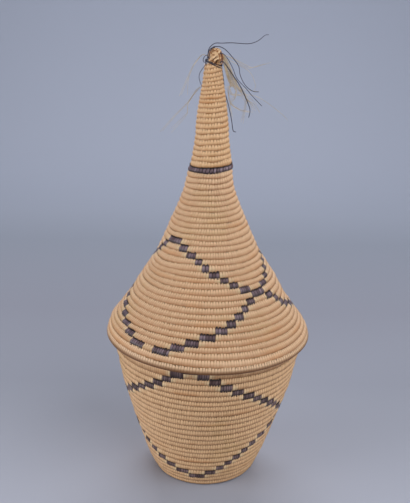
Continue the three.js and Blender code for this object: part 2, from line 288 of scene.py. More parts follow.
class Sewing:
    """The stitches along a coil from q0 to q1: where each starts, and its own small differences."""

    def __init__(self, coil, q0, q1, pitch, looseness, reach):
        starts = [q0]
        while starts[-1] < q1:
            radius = float(coil.place(starts[-1] + 0.5)[0])
            width = pitch * float(varied(*WIDTH_RANGE))
            starts.append(starts[-1] + width / (2 * math.pi * radius))
        self.starts = np.array(starts)
        count = len(starts)
        self.valley = varied(*VALLEY_RANGE, count) * np.interp(self.starts, *looseness)
        self.lift = random.normal(0, LIFT_SPREAD, count)
        self.top_shift = random.normal(0, SHIFT_SPREAD, count)
        self.low_shift = random.normal(0, SHIFT_SPREAD, count)
        self.reach = varied(*REACH_RANGE, count) * reach

    def columns(self, first, last):
        """A table of the columns of stitches first to last. A column's STITCH is the stitch's number and
        the share of its width."""
        k = np.arange(first, last)
        width = self.starts[k + 1] - self.starts[k]
        rows = []
        for share, deep in STITCH_COLUMNS:
            valley, top_shift, low_shift = (
                own[k] * (1 - share) + own[k + 1] * share
                for own in (self.valley, self.top_shift, self.low_shift)
            )
            rows.append(np.stack([
                self.starts[k] + share * width, k + share, valley * deep, self.lift[k] * (1 - deep),
                top_shift, low_shift, self.reach[k] * (1 - deep),
            ]))
        table = np.stack(rows, -1).reshape(len(rows[0]), -1)
        end = [
            self.starts[last], last, self.valley[last], 0,
            self.top_shift[last], self.low_shift[last], 0,
        ]
        return np.hstack([table, np.array(end)[:, None]])


def no_top(q):
    """No limit to a round's upper edge."""
    return q - FAR


def no_end(q):
    """No limit to a round's lower edge."""
    return q + FAR


class Stretch:
    """A stretch of sewn coil, made as closed tubes, with shells for the dark stitches over them.

    depth is how thick the coil is and groove how deep the grooves are. limits are two functions of q,
    for the least and the greatest place of a round's edges. looseness is how deep the valleys between
    stitches are, at numbers of rounds. reach is how far a stitch reaches onto the round above, proud how
    far the coil stands out, and pitch the usual width of a stitch."""

    def __init__(self, coil, q0, q1, depth, groove, seed, limits=(no_top, no_end),
                 looseness=((0,), (0.2,)), reach=0.13, proud=0.0, pitch=1.8):
        self.coil = coil
        self.depth = depth
        self.groove = groove
        self.seed = seed
        self.limits = limits
        self.reach = reach
        self.proud = proud
        self.sewing = Sewing(coil, q0, q1, pitch, looseness, reach)
        self.count = len(self.sewing.starts) - 1
        self.dark = np.zeros(self.count + 1, bool)

    def darken(self, stretches):
        """Marks the stitches of the lines, once the stitches are spread to meet each end."""
        starts = self.sewing.starts
        ends = np.unique([end for pair in stretches for end in pair if starts[2] < end < starts[-3]])
        nearest = np.clip(np.searchsorted(starts, ends), 1, self.count)
        nearest -= (ends - starts[nearest - 1] < starts[nearest] - ends)
        nearest, which = np.unique(nearest, return_index=True)
        self.sewing.starts = np.interp(
            starts, [starts[0], *starts[nearest], starts[-1]], [starts[0], *ends[which], starts[-1]],
        )
        middles = (self.sewing.starts[:-1] + self.sewing.starts[1:]) / 2
        for low, high in stretches:
            self.dark[:-1] |= (middles > low) & (middles < high)

    def section(self, table, rows, rise, groove):
        """Points across the coil, at rows from the upper groove (-1) to the lower (1), or past them."""
        q, _, valley, lift, top_shift, low_shift, _ = (line[:, None] for line in table)
        s = np.atleast_2d(rows)
        upper, lower = (
            edge + EDGE_STRAY * waves(edge * 2 * math.pi, self.seed) for edge in (q, q + 1)
        )
        upper = np.maximum(upper, self.limits[0](q))
        lower = np.minimum(lower, self.limits[1](q))
        lower = np.maximum(lower, upper + LEAST_ROUND)
        t = (upper + lower) / 2 + (lower - upper) / 2 * s
        radius, height, out_r, out_z = self.coil.place(t)
        place = np.where(s < -1, s + 2, np.where(s > 1, s - 2, s)) - PEAK
        arc = (place / np.where(place < 0, 1 + PEAK, 1 - PEAK)) ** 2
        share = np.minimum(np.abs(s), 1)
        thin = np.clip(lower - upper, 0.2, 1)
        sunk = groove * arc * thin + valley * (VALLEY_MIDDLE + VALLEY_EDGE * share)
        depth = rise + lift * (1 - 0.5 * share) - sunk
        across = np.clip((s + 1) / 2, 0, 1)
        shift = top_shift * (1 - across) + low_shift * across + SLANT * s
        azimuth = -2 * math.pi * q + shift / radius
        calm = np.clip(radius / CALM_RADIUS, 0.3, 1)
        wobble = RADIUS_STRAY * waves(azimuth, self.seed + 1, count=4, low=1.5, high=4.5) * calm
        reach = radius + out_r * depth + wobble
        level = height + out_z * depth
        if self.coil in STRAYS:
            rounds, *strays = STRAYS[self.coil]
            dip, sink, saddle = (np.interp(t, rounds, stray) for stray in strays)
            level = level - dip * np.sin(azimuth) - sink + saddle * np.cos(2 * azimuth)
        aside = np.interp(level, *LEAN)
        return np.stack([reach * np.sin(azimuth) + aside, -reach * np.cos(azimuth), level], -1)

    def outside(self, table, rise, lap=0):
        """The outer face. Its upper edge reaches over the round above at each stitch, and with a lap its
        lower edge reaches over the round below."""
        rows = np.tile(OUTER_ROWS, (table.shape[1], 1))
        rows[:, 0] -= table[REACH]
        rows[:, -1] += lap * table[REACH]
        ends = np.abs(OUTER_ROWS) == 1 if lap else np.array(OUTER_ROWS) == -1
        lifts = rise + (TOOTH_LIFT + LAP_LIFT * (lap > 0)) * (table[REACH] > 0)[:, None] * ends
        return self.section(table, rows, lifts, self.groove)

    def attributes(self, table, side):
        """What the materials read at each point: its stitch, row, round, dark neighbours and rust."""
        stitch = np.minimum(table[STITCH].astype(int), self.count - 1)
        near = sum(self.dark[np.clip(stitch + step, 0, self.count)] for step in (-2, -1, 1, 2)) / 2
        azimuth = np.degrees(-2 * math.pi * table[Q])
        azimuth = (azimuth + 180) % 360 - 180
        rust = np.zeros(len(table[Q]))
        if self.coil is cone_coil:
            rust = np.exp(-(((azimuth - RUST_AZIMUTH) / RUST_SPREAD) ** 2))
            rust = rust * smooth((table[Q] - RUST_ROUND) / RUST_EDGE)
        rows = len(side)
        return {
            "stitch": np.repeat(table[STITCH], rows),
            "side": np.tile(side, table.shape[1]),
            "round": np.repeat(table[Q], rows),
            "beside": np.repeat(np.clip(near, 0, 1) * ~self.dark[stitch], rows),
            "rust": np.repeat(rust, rows),
        }

    def tube(self, name, first, last, material):
        """The coil itself, closed, which lies back where dark stitches cover it."""
        table = self.sewing.columns(first, last)
        stitch = np.minimum(table[STITCH].astype(int), self.count - 1)
        covered = self.dark[stitch] & (self.dark[np.maximum(stitch - 1, 0)] | (table[STITCH] % 1 > 0))
        outer = self.outside(table, self.proud)
        table[REACH, covered] = 0
        outer[covered] = self.outside(table, self.proud - UNDER_WRAP)[covered]
        inner_table = table.copy()
        inner_table[[VALLEY, LIFT]] *= -1
        inner = self.section(inner_table, INNER_ROWS, -self.depth, -self.groove)
        points = np.concatenate([outer, inner], 1)
        columns, rows = points.shape[:2]
        attributes = self.attributes(table, [*OUTER_ROWS, *INNER_ROWS])
        return new_mesh(name, points.reshape(-1, 3), tube_faces(columns, rows), attributes, material)

    def wraps(self, name, material, reach):
        """The dark stitches, as closed shells over the coil with their teeth over the round above."""
        edges = np.flatnonzero(np.diff(np.concatenate([[False], self.dark[:-1], [False]]).astype(int)))
        points, faces, attributes, start = [], [], [], 0
        for first, last in zip(edges[::2], edges[1::2]):
            table = self.sewing.columns(first, last)
            table[REACH] *= reach / self.reach
            outer = self.outside(table, self.proud + WRAP_PROUD, LOWER_LAP)
            under_rows = np.array(OUTER_ROWS)[::-1] * WRAP_TUCK
            under = self.section(table, under_rows, self.proud - WRAP_INSIDE, self.groove)
            points.append(np.concatenate([outer, under], 1).reshape(-1, 3))
            shell = tube_faces(table.shape[1], 2 * len(OUTER_ROWS))
            faces += [(part + start, is_smooth) for part, is_smooth in shell]
            attributes.append(self.attributes(table, [*OUTER_ROWS, *OUTER_ROWS[::-1]]))
            start += len(points[-1])
        joined = {key: np.concatenate([part[key] for part in attributes]) for key in attributes[0]}
        return new_mesh(name, np.vstack(points), faces, joined, material)


# Materials
def linear(red, green, blue):
    """A colour as it is seen, 0 to 255, as the numbers a shader takes."""
    values = [c / 255 for c in (red, green, blue)]
    return (*[c / 12.92 if c < 0.04045 else ((c + 0.055) / 1.055) ** 2.4 for c in values], 1.0)


class Nodes:
    """A short way to write a material's nodes."""

    def __init__(self, name):
        self.material = bpy.data.materials.new(name)
        self.material.use_nodes = True
        self.tree = self.material.node_tree
        self.shader = self.tree.nodes["Principled BSDF"]

    def put(self, socket, value):
        if isinstance(value, bpy.types.NodeSocket):
            self.tree.links.new(value, socket)
        else:
            socket.default_value = value

    def math(self, operation, a, b=0.0):
        node = self.tree.nodes.new("ShaderNodeMath")
        node.operation = operation
        for socket, value in zip(node.inputs, (a, b)):
            self.put(socket, value)
        return node.outputs[0]

    def attribute(self, name):
        node = self.tree.nodes.new("ShaderNodeAttribute")
        node.attribute_name = name
        return node.outputs["Fac"]

    def position(self):
        node = self.tree.nodes.new("ShaderNodeTexCoord")
        return node.outputs["Object"]

    def vector(self, x, y, z=0.0):
        node = self.tree.nodes.new("ShaderNodeCombineXYZ")
        for socket, value in zip(node.inputs, (x, y, z)):
            self.put(socket, value)
        return node.outputs[0]

    def noise(self, where, scale, detail, roughness=0.5):
        node = self.tree.nodes.new("ShaderNodeTexNoise")
        self.put(node.inputs["Vector"], where)
        node.inputs["Scale"].default_value = scale
        node.inputs["Detail"].default_value = detail
        node.inputs["Roughness"].default_value = roughness
        return node.outputs["Fac"]

    def chance(self, value):
        node = self.tree.nodes.new("ShaderNodeTexWhiteNoise")
        node.noise_dimensions = "1D"
        self.put(node.inputs["W"], value)
        return node.outputs["Value"]

    def span(self, value, low, high, to_low=0.0, to_high=1.0):
        node = self.tree.nodes.new("ShaderNodeMapRange")
        node.interpolation_type = "SMOOTHSTEP"
        for socket, number in zip(node.inputs, (value, low, high, to_low, to_high)):
            self.put(socket, number)
        return node.outputs[0]

    def mix(self, share, a, b):
        node = self.tree.nodes.new("ShaderNodeMix")
        node.data_type = "RGBA"
        self.put(node.inputs["Factor"], share)
        self.put(node.inputs["A"], a)
        self.put(node.inputs["B"], b)
        return node.outputs["Result"]

    def bump(self, height, distance, strength):
        node = self.tree.nodes.new("ShaderNodeBump")
        node.inputs["Distance"].default_value = distance
        node.inputs["Strength"].default_value = strength
        self.put(node.inputs["Height"], height)
        self.put(self.shader.inputs["Normal"], node.outputs[0])


def sewn_fibre(name, base, pale, warm, green, dark, tone, low_shade, gap, roughness=0.5, rust=0.0,
               top_pale=0.8, top_dark=0.0, foot=0.0):
    """Sewn fibre: each stitch has its own tone and lengths of fibre differ; painted highlight lightens
    each round's upper side and painted shade darkens its grooves.

    tone is how much the stitches differ, low_shade how much painted shade darkens a round towards its
    lower groove, gap how much painted shade darkens the valleys between stitches, rust how much of the
    rusty stretch shows, top_pale how much painted highlight lightens a round's upper side, top_dark how
    much painted shade darkens its upper groove, and foot how much more painted shade the lower side of the
    last rounds gets."""
    n = Nodes(name)
    stitch, side, turn = n.attribute("stitch"), n.attribute("side"), n.attribute("round")

    # Noise: for each stitch, for lengths of fibre, for a few pale runs, in patches and in fine streaks
    own = n.chance(n.math("FLOOR", stitch))
    along, down = n.math("MULTIPLY", stitch, 0.045), n.math("MULTIPLY", turn, 0.37)
    length = n.noise(n.vector(along, down), 1.0, 1.0)
    few = n.noise(n.vector(n.math("MULTIPLY", stitch, 0.21), 4.0), 1.0, 1.0)
    patch = n.noise(n.position(), 26.0, 2.0)
    along, down = n.math("MULTIPLY", stitch, 7.0), n.math("MULTIPLY", side, 0.7)
    streak = n.noise(n.vector(along, down, turn), 1.0, 3.0, 0.65)

    # Tone of the fibre, and of the stitches beside dark ones and in the rusty stretch
    colour = n.mix(n.span(own, 0.0, 1.0, 0.0, tone), base, pale)
    colour = n.mix(n.span(length, 0.56, 0.72, 0.0, 0.6), colour, warm)
    colour = n.mix(n.span(few, 0.6, 0.75, 0.0, 0.25), colour, pale)
    colour = n.mix(n.span(patch, 0.55, 0.7, 0.0, 0.45), colour, green)
    colour = n.mix(n.span(streak, 0.35, 0.7, 0.0, 0.3), colour, pale)
    colour = n.mix(n.math("MULTIPLY", n.attribute("beside"), 0.7), colour, BESIDE_COLOUR)
    colour = n.mix(n.math("MULTIPLY", n.attribute("rust"), rust), colour, RUST_COLOUR)

    # Painted highlight on a round's upper side, painted shade at its upper groove and towards its lower
    # one, and more painted shade on the lower side of the last rounds
    colour = n.mix(n.span(side, 0.1, -0.8, 0.0, top_pale), colour, pale)
    colour = n.mix(n.span(side, -0.55, -0.95, 0.0, top_dark), colour, dark)
    colour = n.mix(n.span(side, -0.4, 1.0, 0.0, low_shade), colour, dark)
    low = n.math("MULTIPLY", n.span(side, -0.7, 0.7), n.span(turn, 16.0, 28.0, 0.0, foot))
    colour = n.mix(low, colour, dark)

    # Painted shade in the valleys between stitches, and specks of painted shade in the grooves
    from_middle = n.math("ABSOLUTE", n.math("SUBTRACT", n.math("FRACT", stitch), 0.5))
    between = n.span(from_middle, 0.32, 0.46)
    deep = n.math("MAXIMUM", n.span(side, -0.35, -0.95, gap, 0.9), n.span(side, 0.6, 1.0, 0.0, 0.6))
    colour = n.mix(n.math("MULTIPLY", between, deep), colour, dark)
    speck = n.chance(n.math("FLOOR", n.math("MULTIPLY", stitch, 2.0)))
    in_groove = n.span(n.math("ABSOLUTE", side), 0.8, 0.98, 0.0, 0.6)
    speck = n.math("MULTIPLY", n.span(speck, 0.86, 0.93), in_groove)
    colour = n.mix(speck, colour, SPECK_COLOUR)

    n.put(n.shader.inputs["Base Color"], colour)
    n.put(n.shader.inputs["Roughness"], n.span(streak, 0.2, 0.8, roughness + 0.1, roughness - 0.08))
    n.shader.inputs["Specular IOR Level"].default_value = 0.3
    n.bump(streak, 0.00012, 0.7)
    return n.material


BESIDE_COLOUR = linear(226, 208, 168)
RUST_COLOUR = linear(206, 142, 86)
# The colour of the specks of painted shade in the grooves, where the stitches part
SPECK_COLOUR = linear(70, 46, 30)
straw = sewn_fibre(
    "straw", base=linear(216, 174, 137), pale=linear(240, 205, 168), warm=linear(214, 154, 104),
    green=linear(208, 178, 126), dark=linear(148, 94, 44),
    tone=0.34, low_shade=0.66, gap=0.3, rust=0.35, foot=0.2,
)
spire_straw = sewn_fibre(
    "spire_straw", base=linear(210, 164, 117), pale=linear(238, 200, 158), warm=linear(206, 140, 80),
    green=linear(206, 172, 110), dark=linear(136, 82, 34),
    tone=0.4, low_shade=0.7, gap=0.1,
)
# A darker copy of the straw for the wall: painted shade, since the wall faces down under the lid
shaded_wall_straw = sewn_fibre(
    "shaded_wall_straw", base=linear(192, 152, 113), pale=linear(226, 188, 146), warm=linear(190, 132, 82),
    green=linear(184, 154, 100), dark=linear(124, 70, 14),
    tone=0.5, low_shade=0.72, gap=0.35, foot=0.4,
)
# The rim's straw: a strong painted highlight along its top and strong painted shade towards its lower side
pale_straw = sewn_fibre(
    "pale_straw", base=linear(188, 148, 112), pale=linear(234, 200, 164), warm=linear(184, 136, 92),
    green=linear(182, 154, 112), dark=linear(104, 66, 36),
    tone=0.15, low_shade=0.9, gap=0.45, rust=0.2, top_pale=0.85, foot=0.7,
)
dark_fibre = sewn_fibre(
    "dark_fibre", base=linear(92, 71, 76), pale=linear(156, 136, 146), warm=linear(84, 54, 48),
    green=linear(94, 84, 98), dark=linear(18, 7, 5),
    tone=0.9, low_shade=0.85, gap=0.85, roughness=0.4, top_pale=0, top_dark=0.9,
)
# A darker copy of the dark fibre for the wall: painted shade, as with the wall's straw
shaded_wall_dark_fibre = sewn_fibre(
    "shaded_wall_dark_fibre", base=linear(68, 49, 50), pale=linear(134, 112, 112), warm=linear(68, 43, 34),
    green=linear(74, 62, 68), dark=linear(14, 5, 3),
    tone=0.9, low_shade=0.8, gap=0.85, roughness=0.4, top_pale=0, top_dark=0.9,
)


def plain_fibre(name, base, pale, dark, roughness):
    """Loose fibre: its tone changes along it."""
    n = Nodes(name)
    along = n.noise(n.position(), 160.0, 3.0)
    fine = n.noise(n.position(), 900.0, 2.0)
    colour = n.mix(n.span(along, 0.4, 0.65), base, pale)
    colour = n.mix(n.span(fine, 0.5, 0.75, 0.0, 0.6), colour, dark)
    n.put(n.shader.inputs["Base Color"], colour)
    n.put(n.shader.inputs["Roughness"], n.span(fine, 0.2, 0.8, roughness + 0.1, roughness - 0.1))
    n.shader.inputs["Specular IOR Level"].default_value = 0.3
    n.bump(fine, 0.0001, 0.6)
    return n.material


loose_thread = plain_fibre(
    "loose_thread", base=linear(52, 48, 60), pale=linear(80, 76, 92), dark=linear(34, 30, 38),
    roughness=0.6,
)
loose_fibre = plain_fibre(
    "loose_fibre", base=linear(196, 180, 154), pale=linear(222, 204, 172), dark=linear(150, 130, 104),
    roughness=0.65,
)
knob_fibre = plain_fibre(
    "knob_fibre", base=linear(204, 158, 112), pale=linear(238, 204, 162), dark=linear(132, 84, 48),
    roughness=0.6,
)
brown_fibre = plain_fibre(
    "brown_fibre", base=linear(128, 82, 50), pale=linear(172, 118, 74), dark=linear(70, 44, 30),
    roughness=0.6,
)


# Basket: where its coil ends, in a taper at the back, and the flat coil of its base
TAPER_DEPTH = 0.95  # share of a round that a tapered end gives up
LEDGE_START = -0.7
LEDGE_FULL = -0.3
LEDGE_TAPER = 0.4
LEDGE_END = 0.5
WALL_CUTS = [LEDGE_END, 7.5, 14.5, END]  # where the wall's pieces start and end
WALL_END = 0.2  # rounds that the coil stops above the floor
FLOOR_RADIUS = 33.0
FLOOR_CENTRE = 0.15
FLOOR_TOP = 4.2
FLOOR_END = 7.1  # rounds in from its edge
NECK_RADIUS = 64.7
NECK_RISE = 4.6  # above the outline of the ledge
NECK_START = -0.5
NECK_END = 0.44


def ledge_top(q):
    """The upper edge of the wall's coil, which comes in from nothing at the back."""
    taper = TAPER_DEPTH * (1 - smooth((q - LEDGE_START) / LEDGE_TAPER))
    return np.where(q < LEDGE_FULL, q + taper, q - FAR)


def floor_end(q):
    """The lower edge of the wall's last round, cut level by the floor."""
    return np.full_like(q, wall_coil.rounds, dtype=float)


def settle(piece, body, node):
    """Puts a piece under its body's empty, and hides the node of the model that it dresses."""
    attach(piece, body)
    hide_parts(node)


def tubes(stretch, names, cuts, material, body, node):
    """Closed tubes between the cuts, which are numbers of rounds."""
    marks = np.clip(np.searchsorted(stretch.sewing.starts, cuts), 0, stretch.count)
    for name, first, last in zip(names, marks[:-1], marks[1:]):
        settle(stretch.tube(name, int(first), int(last), material), body, node)


wall = Stretch(
    wall_coil, LEDGE_START, wall_coil.rounds - WALL_END, depth=4.2, groove=1.1,
    limits=(ledge_top, floor_end), looseness=((0, 14, 24), (0.32, 0.3, 0.2)), pitch=1.7, seed=5,
)
wall.darken(dark_stretches(BASKET_LINES))
tubes(wall, ["basket_ledge_coil"], [LEDGE_START, LEDGE_END], shaded_wall_straw,
      "basket", "basket_ledge_round")
tubes(wall, ["basket_wall_upper", "basket_wall_middle", "basket_wall_lower"], WALL_CUTS, shaded_wall_straw,
      "basket", "basket_wall")
basket_wraps = wall.wraps("basket_dark_wraps", shaded_wall_dark_fibre, reach=0.36)
settle(basket_wraps, "basket", "basket_dark_stitches")


class FloorCoil:
    """The flat coil of the base, wound in from the wall to its middle."""

    rounds = 8

    def place(self, t):
        radius = FLOOR_RADIUS * (1 - np.asarray(t, float) / self.rounds)
        height = np.full_like(radius, FLOOR_TOP)
        return np.maximum(radius, FLOOR_CENTRE), height, np.zeros_like(radius), np.ones_like(radius)


floor_stretch = Stretch(FloorCoil(), 0.0, FLOOR_END, depth=4.2, groove=0.7, seed=9)
tubes(floor_stretch, ["basket_floor_coil"], [0.0, END], straw, "basket", "basket_base")


class NeckCoil:
    """A single inset round that stands on the ledge."""

    rounds = 1

    def place(self, t):
        t = np.asarray(t, float)
        _, ledge, _, _ = wall_coil.place(t)
        return np.full_like(t, NECK_RADIUS), ledge + NECK_RISE, np.ones_like(t), np.zeros_like(t)


neck = Stretch(NeckCoil(), NECK_START, NECK_END, depth=3.9, groove=0.8, seed=13)
tubes(neck, ["basket_neck_coil"], [NECK_START, END], straw, "basket", "basket_neck_round")


# Lid: where its coils start and end. The rim's round ends in a taper at the back.
CONE_START = -0.5
CONE_CUTS = [CONE_START, 17.5, 25.5, END]
SPIRE_START = -0.9
RIM_START = 31.5
RIM_END = 32.5
RIM_FULL = 32.3
RIM_TAPER = 0.2
RING_TO_END = 1.5  # rounds from the top of the dark ring to the foot of the spire


def rim_end(q):
    """The lower edge of the rim's round, which tapers to nothing at the back."""
    taper = TAPER_DEPTH * smooth((q - RIM_FULL) / RIM_TAPER)
    return np.where(q > RIM_FULL, q + 1 - taper, q + FAR)


def tip_top(q):
    """The upper edge of the spire's first round, cut level at the top."""
    return np.zeros_like(q)


cone = Stretch(
    cone_coil, CONE_START, RIM_START, depth=4.0, groove=1.12,
    looseness=((0, 6, 16), (0.7, 0.5, 0.24)), reach=0.17, proud=0.3, pitch=1.88, seed=21,
)
cone.darken(dark_stretches(LID_LINES))
tubes(cone, ["lid_cone_upper", "lid_cone_middle", "lid_cone_lower"], CONE_CUTS, straw,
      "lid", "lid_cone")
lid_wraps = cone.wraps("lid_dark_wraps", dark_fibre, reach=0.34)
settle(lid_wraps, "lid", "lid_dark_stitches")
rim = Stretch(
    cone_coil, RIM_START, RIM_END, depth=5.0, groove=0.9, limits=(no_top, rim_end),
    looseness=((0,), (0.13,)), reach=0.26, proud=0.45, pitch=2.0, seed=22,
)
tubes(rim, ["lid_rim_coil"], [RIM_START, END], pale_straw, "lid", "lid_rim_round")

ring_start = spire_coil.rounds - RING_TO_END
spire = Stretch(
    spire_coil, SPIRE_START, ring_start, depth=3.4, groove=0.75, limits=(tip_top, no_end),
    looseness=((0, 20), (0.3, 0.34)), reach=0.3, pitch=2.15, seed=31,
)
tubes(spire, ["lid_spire_coil"], [SPIRE_START, END], spire_straw, "lid", "lid_spire")
ring = Stretch(
    spire_coil, ring_start, ring_start + 1, depth=3.6, groove=0.75,
    looseness=((0,), (1.1,)), reach=0.3, proud=0.5, pitch=2.2, seed=32,
)
tubes(ring, ["lid_dark_ring_coil"], [0, END], dark_fibre, "lid", "lid_dark_ring")


# Tip: a knob of folded fibre, the thread that binds it, and their loose ends
STRAND_SIDES = 5
SIDEWAYS = (0.3, 0.9, 0.1)  # a direction that no strand follows


def strand(points, radius, steps, tip_share):
    """A thin closed tube along a smooth line through the points, which ends at a share of its radius."""
    line = spline(np.array(points, float), max(2, steps // (len(points) - 1)))
    way = np.gradient(line, axis=0)
    way /= np.linalg.norm(way, axis=1, keepdims=True)
    side = np.cross(way, SIDEWAYS)
    side /= np.linalg.norm(side, axis=1, keepdims=True)
    other = np.cross(way, side)
    angle = np.arange(STRAND_SIDES) * 2 * math.pi / STRAND_SIDES
    share = np.linspace(0, 1, len(line))
    size = radius * (1 - (1 - tip_share) * share**2)
    ring_points = line[:, None] + size[:, None, None] * (
        np.cos(angle)[None, :, None] * side[:, None] + np.sin(angle)[None, :, None] * other[:, None]
    )
    verts = np.vstack([ring_points.reshape(-1, 3), line[0], line[-1]])
    faces = [tuple(face) for face in tube_sides(len(line), STRAND_SIDES)]
    first_end = len(line) * STRAND_SIDES
    last_ring = first_end - STRAND_SIDES
    for k in range(STRAND_SIDES):
        n = (k + 1) % STRAND_SIDES
        faces.append((first_end, n, k))
        faces.append((first_end + 1, last_ring + k, last_ring + n))
    return verts, faces


def join_strands(name, strands, material):
    """One piece from several strands."""
    verts, faces, start = [], [], 0
    for points, quads in strands:
        verts.append(points)
        faces += [tuple(int(i) + start for i in face) for face in quads]
        start += len(points)
    mesh = bpy.data.meshes.new(name)
    mesh.from_pydata((np.vstack(verts) * MM).tolist(), [], faces)
    mesh.materials.append(material)
    mesh.shade_smooth()
    return add_object(name, mesh)


def around(radius, degrees, height):
    """A point at an azimuth from the front."""
    angle = math.radians(degrees)
    return (radius * math.sin(angle), -radius * math.cos(angle), height)


# Loose ends: each has its radius and then points to the right, towards the back and up from the middle
# of the last round's top
THREAD_ROUTES = [
    (0.26, [(-3, -4, 2.7), (-3.3, -4.6, 7.1), (-2.2, -4.4, 10.3), (1, -4, 12.8), (5.7, -4, 13),
            (12.1, -4, 13.3), (21.6, -4.4, 12.9), (26.3, -4.6, 14), (29.4, -5, 15.8), (32.4, -5, 18.4),
            (34.8, -5, 18.8)]),
    (0.28, [(-2.6, -4.8, 0.9), (-2.4, -5, 6.3), (-0.4, -4.6, 10.2), (2, -4.4, 10.9), (5, -4.4, 10.5),
            (8.2, -5, 8.7), (12.3, -5.5, 4.5), (16.4, -6, -1), (17.5, -7, -6.4), (20.8, -7.5, -12.5),
            (25.7, -8, -16.2), (29.7, -8, -16.6)]),
    (0.24, [(4.3, -4.6, 6.4), (6.3, -5, 6.5), (9.1, -5.6, 3.7), (12.5, -6, -1.9), (15.5, -7, -8.6),
            (20.8, -8, -13.9), (25.8, -9, -19.4), (32, -9, -25.5)]),
    (0.34, [(4.4, -5.4, 0.7), (6.3, -5.6, 1.7), (10.5, -6.4, -3.3), (14.2, -7, -8.4), (17.6, -7.6, -13),
            (21, -8.6, -19.5), (23.8, -9, -25.8), (24.5, -9.4, -29.1), (23.8, -9.4, -33)]),
    (0.3, [(5.2, 3, -0.6), (7.1, 3, -10.9), (7.9, 2, -18), (9.2, 1, -21.9), (10.6, 0, -26.2),
           (13, -1, -36.2), (14.2, -1, -43), (16.2, -1, -44)]),
    (0.22, [(-3.5, -3, 0.3), (-4.6, -3.2, -0.6), (-6.7, -3.4, -3.3), (-8.2, -3.6, -5.7),
            (-8.8, -4, -8.4), (-8.2, -4.8, -11.1), (-6.9, -6, -14.1)]),
    (0.24, [(-3, -4.2, 5.5), (-4.9, -4, 5.1), (-6.2, -4, 3.2), (-6.1, -4, 1.2), (-4.7, -4.4, 0.8)]),
    (0.3, [(1, -4.4, 10.2), (-1.2, -4.8, 9.9), (-2.7, -5, 7.9), (-3.5, -5, 4.6), (-4.3, -5, 1.6),
           (-4.8, -4.6, -0.5)]),
    (0.22, [(2.2, -3.6, 8), (4.6, -4.4, 7.3), (5.5, -4.6, 5.4), (5.9, -3.4, 3)]),
]
# The fan of fibre on the right: its left, middle and right lines
FAN_ROUTES = [
    [(5.4, 1, 4.8), (6.5, 1, 0.5), (8.9, 3, -9.2), (10.8, 4, -14.3)],
    [(5.6, 1, 4.4), (8, 2, -1.2), (12.6, 4, -10.9), (15.9, 5, -17.4)],
    [(5.6, 1, 6.6), (10, 2, 0.6), (16.4, 5, -13.6), (20.9, 6, -20.4)],
]
FAN_COUNT = 34
FAN_RADII = (0.1, 0.17)
FAN_LENGTHEN = (-0.2, 0.25)
# Loose fibres: each has its number of strands, which part on the way, its radius and its points
FIBRE_ROUTES = [
    (3, 0.13, [(9.9, 5, -15.9), (11.8, 6, -25.8), (17.8, 7, -30.8), (25.4, 8, -32.5)]),
    (3, 0.13, [(10.8, 4, -14.3), (12.9, 5, -20.7), (20, 6, -21.5), (27.3, 7, -28.1)]),
    (3, 0.13, [(15.9, 5, -17.4), (15, 5, -22.3), (11.9, 6, -26.2), (13.8, 6, -34.9)]),
    (3, 0.13, [(11.5, 4, -14.1), (18.1, 5, -15.7), (22.5, 6, -22.3), (20.6, 7, -37.4)]),
    (3, 0.14, [(20.9, 6, -20.4), (23.5, 6, -24), (26.2, 6.5, -26), (29, 7, -31)]),
    (2, 0.14, [(-2, 1, 3.5), (-6.5, 1, 5.3), (-10, 1, 1.7), (-12.8, 1, -2.7), (-16, 2, -10.4),
               (-20.4, 3, -21.1)]),
    (1, 0.12, [(-10, 1, 1.7), (-12.8, 1, -2.7), (-15.7, 2, -10.4), (-16.3, 3, -21.1)]),
    (2, 0.12, [(-6.6, 8, -15), (-9.8, 6, -18.1), (-16.2, 4, -26.5), (-24.4, 3, -35.2), (-32.6, 2, -45.1)]),
    (2, 0.12, [(-9.8, 7, -16.6), (-15.8, 4, -26.5), (-16.1, 3, -31.7), (-19.4, 3, -35.9),
               (-26.7, 2, -43.3)]),
    (2, 0.14, [(5.6, 1, 6), (14.1, 1, 2.2), (19.1, 1, -0.9), (23.2, 1, -2.8), (28.8, 1, -1.3),
               (33.6, 1, 0.2)]),
    (1, 0.12, [(20.9, 6, -20.4), (30.9, 8, -22.4), (45.5, 9, -32.2), (50.8, 9, -37.1)]),
    (1, 0.12, [(5.5, 2, 4), (22.6, 4, -4.3), (27.9, 5, -13.1), (27.3, 6, -18.1)]),
    (1, 0.12, [(7.4, 5, -16), (14.8, 5, -15), (23.1, 6, -17.4), (31.5, 7, -18.6)]),
]
# How far the end of a strand strays from its route
FIBRE_SPREAD = 2.4
FAN_SPREAD = 0.5

# Knob: its middle, its reach to the sides, its height, its depth either way and its number of loops
KNOB_MIDDLE = 1.3
KNOB_LEFT = 3.4
KNOB_RIGHT = 3.7
KNOB_HEIGHT = 8.9
KNOB_DEPTH = 5.6
KNOB_LOOPS = 17
KNOB_LOOP_DEPTH = 4.3
KNOB_LOOP_RADII = (0.6, 0.95)
KNOB_SHAKE = 0.35

# Binding: three turns of thread, each with its own tilt
BINDING_TILTS = (0.42, 0.2, 0.36)
BINDING_RADIUS = 5.5
BINDING_OUT = 0.1
BINDING_ASIDE = 0.5
BINDING_DROP = 0.2
BINDING_STEP = 0.5
BINDING_THREAD = 0.27


def raised(points, spread=0.0):
    """Points of the tip in place, with each moved a little more than the one before."""
    drift = random.normal(0, 1, 3) * spread
    return [np.array(p) + (0, 0, TIP_HEIGHT) + drift * i / len(points) for i, p in enumerate(points)]


